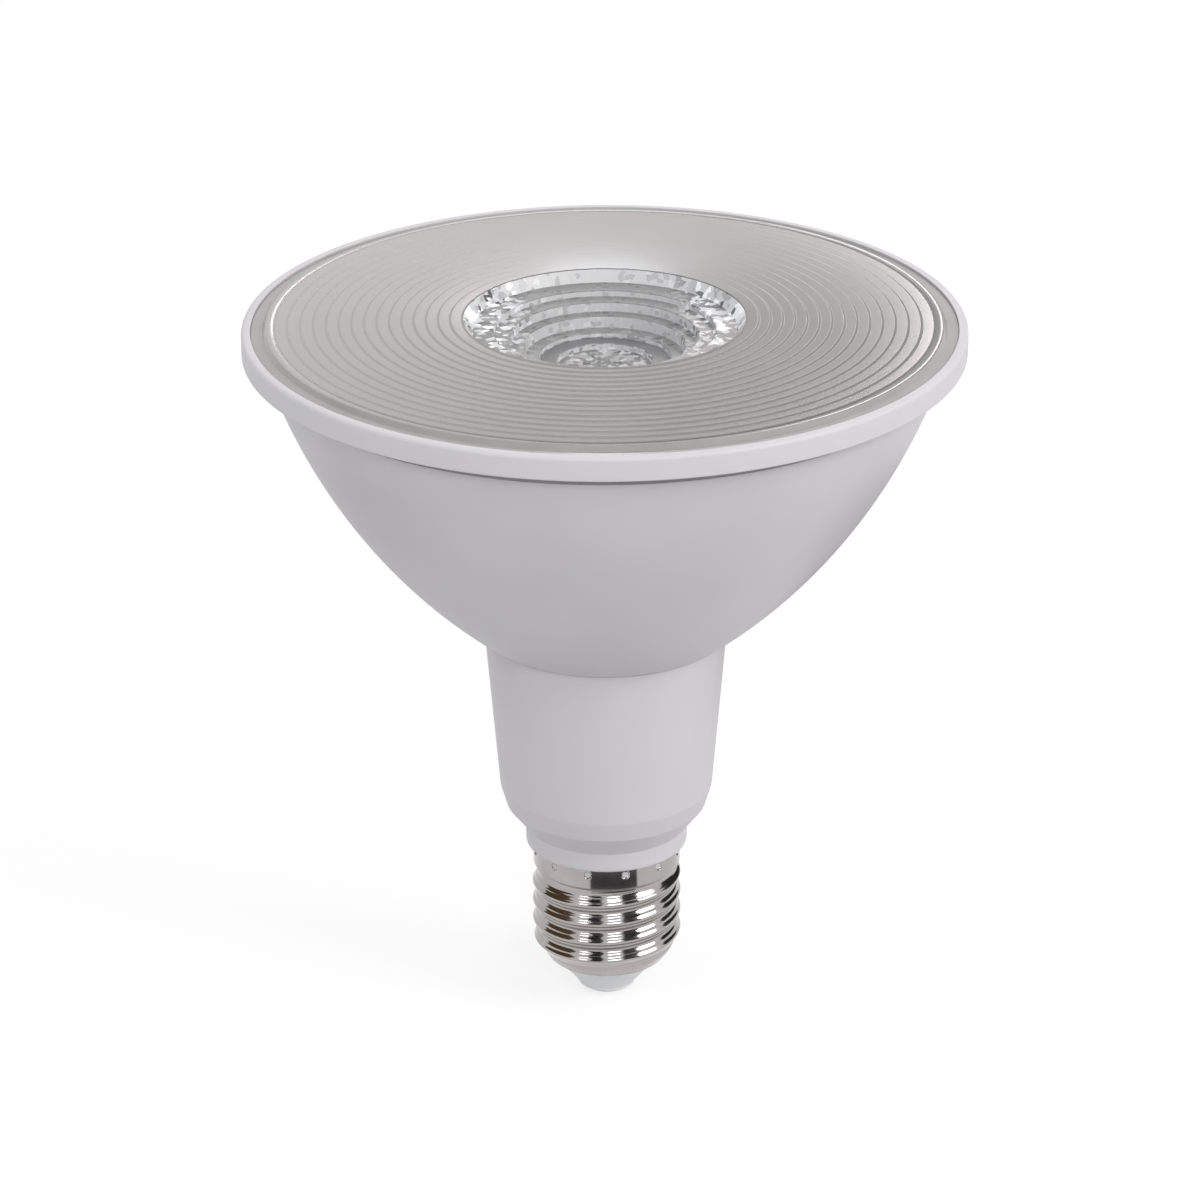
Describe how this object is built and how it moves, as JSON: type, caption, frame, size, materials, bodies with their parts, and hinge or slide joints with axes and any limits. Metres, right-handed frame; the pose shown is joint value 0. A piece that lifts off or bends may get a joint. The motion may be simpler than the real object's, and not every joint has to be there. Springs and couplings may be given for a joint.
{
  "type": "par spotlight bulb",
  "caption": "Reflector spotlight lamp with a white bowl and tapered neck, a clear ribbed lens with a stepped centre, and a threaded metal screw cap.",
  "frame": {"origin": "centre of the lowest face of the cap's centre contact", "axes": "+Z along the lamp's axis, from the cap out through the lens; +X and +Y square to it, with the led leads on the -Y side"},
  "size_m": [0.122, 0.122, 0.1265],
  "materials": {
    "white_housing": "satin moulded polycarbonate",
    "lens": "clear moulded acrylic",
    "nickel_shell": "nickel-plated brass, rolled",
    "insulator": "frosted thermoset",
    "contact": "nickel-plated steel",
    "gasket": "silicone",
    "cast_aluminium": "die cast",
    "thermal_pad": "matt silicone",
    "white_board": "white solder mask on aluminium",
    "green_board": "green solder mask on glass fibre",
    "ceramic": "glazed ceramic",
    "phosphor": "silicone with yellow phosphor",
    "screw_steel": "zinc plated",
    "black_moulding": "moulded epoxy",
    "capacitor_sleeve": "shrink sleeve",
    "film_case": "moulded case",
    "ferrite": "sintered ferrite",
    "enamelled_copper": "enamelled wire",
    "winding_tape": "polyester tape",
    "blue_coating": "epoxy dip",
    "resistor_body": "flameproof lacquer",
    "red_wire": "silicone insulation",
    "black_wire": "silicone insulation",
    "white_wire": "silicone insulation"
  },
  "bodies": {
    "root": {"front_lens": "lens", "front_ring": "white_housing", "bowl_housing": "white_housing", "neck_housing": "white_housing", "screw_shell": "nickel_shell", "cap_insulator": "insulator", "centre_contact": "contact", "lens_gasket": "gasket", "heat_sink": "cast_aluminium", "thermal_pad": "thermal_pad", "led_board": "white_board", "board_screws": "screw_steel", "board_connector": "white_board", "led_package": "ceramic", "led_phosphor": "phosphor", "optic_holder": "black_moulding", "driver_board": "green_board", "fuse_resistor": "resistor_body", "surge_varistor": "blue_coating", "bridge_rectifier": "black_moulding", "filter_capacitor": "film_case", "input_choke_core": "ferrite", "input_choke_winding": "enamelled_copper", "bulk_capacitor": "capacitor_sleeve", "output_capacitor": "capacitor_sleeve", "transformer_core_lower": "ferrite", "transformer_core_upper": "ferrite", "transformer_bobbin": "black_moulding", "transformer_winding": "winding_tape", "driver_chip": "black_moulding", "output_diode": "black_moulding", "chip_resistors": "black_moulding", "chip_capacitors": "film_case", "live_lead": "red_wire", "neutral_lead": "white_wire", "led_lead_positive": "red_wire", "led_lead_negative": "black_wire"}
  },
  "joints": []
}
